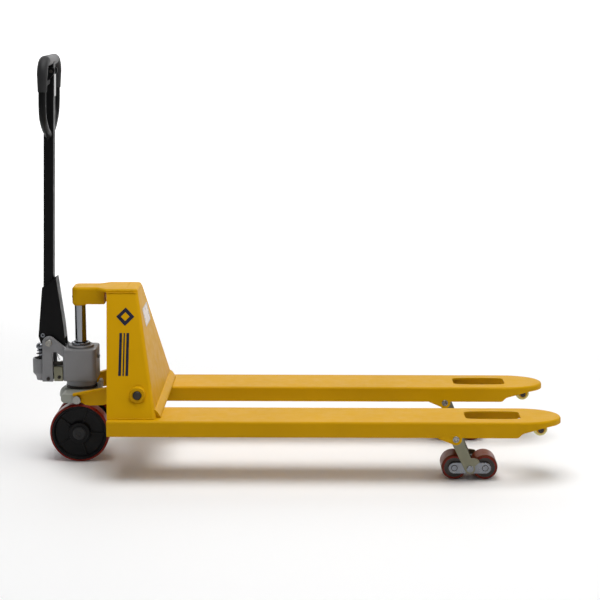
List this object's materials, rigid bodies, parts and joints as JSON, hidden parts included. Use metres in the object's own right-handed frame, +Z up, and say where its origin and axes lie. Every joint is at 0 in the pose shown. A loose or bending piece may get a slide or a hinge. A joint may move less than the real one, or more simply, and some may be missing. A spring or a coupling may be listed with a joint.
{
  "type": "pallet jack",
  "caption": "Hand pallet jack with raised forks, swivelling hydraulic pump with tilting loop handle, steer wheels and tandem load rollers on swinging legs.",
  "frame": {"origin": "on the floor under the middle of the object's box", "axes": "+X towards the fork tips, +Y to the left of a person at the handle, +Z up"},
  "size_m": [1.5786, 0.554, 1.2227],
  "materials": {
    "yellow_paint": "gloss powder coat",
    "grey_casting": "painted casting",
    "light_casting": "painted casting",
    "zinc": "olive zinc plating",
    "steel": "bright zinc or ground steel",
    "chrome": "hard chrome",
    "dark_steel": "oiled dark steel",
    "black_paint": "black powder coat",
    "grip_rubber": "matt",
    "black_core": "matt",
    "polyurethane": "satin, dark orange",
    "nylon": "pale yellow nylon",
    "strip": "light grey"
  },
  "bodies": {
    "root": {"fork_right": "yellow_paint", "fork_left": "yellow_paint", "side_panel_right": "yellow_paint", "side_panel_left": "yellow_paint", "front_plate": "yellow_paint", "top_plate": "yellow_paint", "set_screw": "dark_steel", "ram_cup": "yellow_paint", "ram": "chrome", "leg_ear_right": "yellow_paint", "leg_ear_left": "yellow_paint", "leg_pin_right": "steel", "leg_pin_left": "steel", "shaft_boss_right": "yellow_paint", "shaft_boss_left": "yellow_paint", "crank_shaft": "dark_steel", "entry_axle_right": "steel", "entry_axle_left": "steel"},
    "yoke": {"thrust_yoke": "light_casting", "thrust_bearing": "steel"},
    "pump": {"pump_housing": "grey_casting", "gland_nut": "steel", "filler_bolt": "steel", "valve_block": "zinc", "steer_axle": "steel", "handle_pivot_pin": "steel"},
    "piston": {"pump_piston": "steel", "pump_spring": "dark_steel"},
    "release_lever": {"release_lever": "dark_steel", "release_chain": "dark_steel"},
    "handle": {"handle_tube": "black_paint", "handle_gusset": "black_paint", "cam_roller": "steel", "cam_pin": "steel", "handle_loop": "black_paint", "grip_cover": "grip_rubber", "front_strip": "strip", "lever_pin": "steel"},
    "control_lever": {"control_lever": "black_paint"},
    "crank": {"crank_frame": "yellow_paint"},
    "steer_wheel_right": {"steer_wheel_core_right": "black_core", "steer_wheel_tyre_right": "polyurethane"},
    "leg_right": {"leg_right": "zinc"},
    "push_rod_right": {"push_rod_right": "dark_steel"},
    "bogie_right": {"bogie_right": "steel"},
    "load_roller_right_rear": {"load_roller_right_rear_core": "steel", "load_roller_right_rear_tread": "polyurethane"},
    "load_roller_right_front": {"load_roller_right_front_core": "steel", "load_roller_right_front_tread": "polyurethane"},
    "entry_roller_right": {"entry_roller_right": "nylon"},
    "steer_wheel_left": {"steer_wheel_core_left": "black_core", "steer_wheel_tyre_left": "polyurethane"},
    "leg_left": {"leg_left": "zinc"},
    "push_rod_left": {"push_rod_left": "dark_steel"},
    "bogie_left": {"bogie_left": "steel"},
    "load_roller_left_rear": {"load_roller_left_rear_core": "steel", "load_roller_left_rear_tread": "polyurethane"},
    "load_roller_left_front": {"load_roller_left_front_core": "steel", "load_roller_left_front_tread": "polyurethane"},
    "entry_roller_left": {"entry_roller_left": "nylon"}
  },
  "joints": [
    {"name": "lift", "type": "slide", "parent": "root", "child": "yoke", "axis": [0, 0, 1], "range_m": [0, 0.11]},
    {"name": "steer", "type": "hinge", "parent": "yoke", "child": "pump", "pos_m": [-0.64075, 0, 0.217], "axis": [0, 0, 1], "range_deg": [-90, 90]},
    {"name": "handle_tilt", "type": "hinge", "parent": "pump", "child": "handle", "pos_m": [-0.73175, 0, 0.361], "axis": [0, -1, 0], "range_deg": [0, 80]},
    {"name": "pump_stroke", "type": "slide", "parent": "pump", "child": "piston", "axis": [0, 0, -1], "range_m": [0, 0.0257], "deforming": ["pump_spring"]},
    {"name": "control_lever_pull", "type": "hinge", "parent": "handle", "child": "control_lever", "pos_m": [-0.706, 0, 1.1756], "axis": [0, 1, 0], "range_deg": [0, 15], "stiffness_Nm_per_rad": 1.5, "springref_deg": -5.73},
    {"name": "release_lever_turn", "type": "hinge", "parent": "pump", "child": "release_lever", "pos_m": [-0.69625, 0, 0.2955], "axis": [0, 1, 0], "range_deg": [0, 12]},
    {"name": "crank_turn", "type": "hinge", "parent": "root", "child": "crank", "pos_m": [-0.44475, 0, 0.25], "axis": [0, 1, 0], "range_deg": [0, 31.6]},
    {"name": "leg_swing_right", "type": "hinge", "parent": "root", "child": "leg_right", "pos_m": [0.47825, -0.195, 0.1347], "axis": [0, 1, 0], "range_deg": [-71.9, 0]},
    {"name": "push_rod_turn_right", "type": "hinge", "parent": "leg_right", "child": "push_rod_right", "pos_m": [0.50025, -0.195, 0.16507], "axis": [0, 1, 0], "range_deg": [0, 71.9]},
    {"name": "bogie_turn_right", "type": "hinge", "parent": "leg_right", "child": "bogie_right", "pos_m": [0.52325, -0.195, 0.037], "axis": [0, 1, 0], "range_deg": [0, 71.9]},
    {"name": "load_roller_spin_right_rear", "type": "hinge", "parent": "bogie_right", "child": "load_roller_right_rear", "pos_m": [0.47825, -0.195, 0.037], "axis": [0, 1, 0], "continuous": true},
    {"name": "load_roller_spin_right_front", "type": "hinge", "parent": "bogie_right", "child": "load_roller_right_front", "pos_m": [0.56825, -0.195, 0.037], "axis": [0, 1, 0], "continuous": true},
    {"name": "entry_roller_spin_right", "type": "hinge", "parent": "root", "child": "entry_roller_right", "pos_m": [0.72475, -0.195, 0.157], "axis": [0, 1, 0], "continuous": true},
    {"name": "steer_wheel_spin_right", "type": "hinge", "parent": "pump", "child": "steer_wheel_right", "pos_m": [-0.64075, -0.05, 0.09], "axis": [0, 1, 0], "continuous": true},
    {"name": "leg_swing_left", "type": "hinge", "parent": "root", "child": "leg_left", "pos_m": [0.47825, 0.195, 0.1347], "axis": [0, 1, 0], "range_deg": [-71.9, 0]},
    {"name": "push_rod_turn_left", "type": "hinge", "parent": "leg_left", "child": "push_rod_left", "pos_m": [0.50025, 0.195, 0.16507], "axis": [0, 1, 0], "range_deg": [0, 71.9]},
    {"name": "bogie_turn_left", "type": "hinge", "parent": "leg_left", "child": "bogie_left", "pos_m": [0.52325, 0.195, 0.037], "axis": [0, 1, 0], "range_deg": [0, 71.9]},
    {"name": "load_roller_spin_left_rear", "type": "hinge", "parent": "bogie_left", "child": "load_roller_left_rear", "pos_m": [0.47825, 0.195, 0.037], "axis": [0, 1, 0], "continuous": true},
    {"name": "load_roller_spin_left_front", "type": "hinge", "parent": "bogie_left", "child": "load_roller_left_front", "pos_m": [0.56825, 0.195, 0.037], "axis": [0, 1, 0], "continuous": true},
    {"name": "entry_roller_spin_left", "type": "hinge", "parent": "root", "child": "entry_roller_left", "pos_m": [0.72475, 0.195, 0.157], "axis": [0, 1, 0], "continuous": true},
    {"name": "steer_wheel_spin_left", "type": "hinge", "parent": "pump", "child": "steer_wheel_left", "pos_m": [-0.64075, 0.05, 0.09], "axis": [0, 1, 0], "continuous": true}
  ],
  "couplings": [
    {"joint": "pump_stroke", "follows": "handle_tilt", "m_per_rad": 0.018335},
    {"joint": "release_lever_turn", "follows": "control_lever_pull", "ratio": 0.8},
    {"joint": "crank_turn", "follows": "lift", "rad_per_m": 4.998},
    {"joint": "leg_swing_right", "follows": "lift", "rad_per_m": -11.398},
    {"joint": "push_rod_turn_right", "follows": "lift", "rad_per_m": 11.398},
    {"joint": "bogie_turn_right", "follows": "lift", "rad_per_m": 11.398},
    {"joint": "leg_swing_left", "follows": "lift", "rad_per_m": -11.398},
    {"joint": "push_rod_turn_left", "follows": "lift", "rad_per_m": 11.398},
    {"joint": "bogie_turn_left", "follows": "lift", "rad_per_m": 11.398}
  ]
}
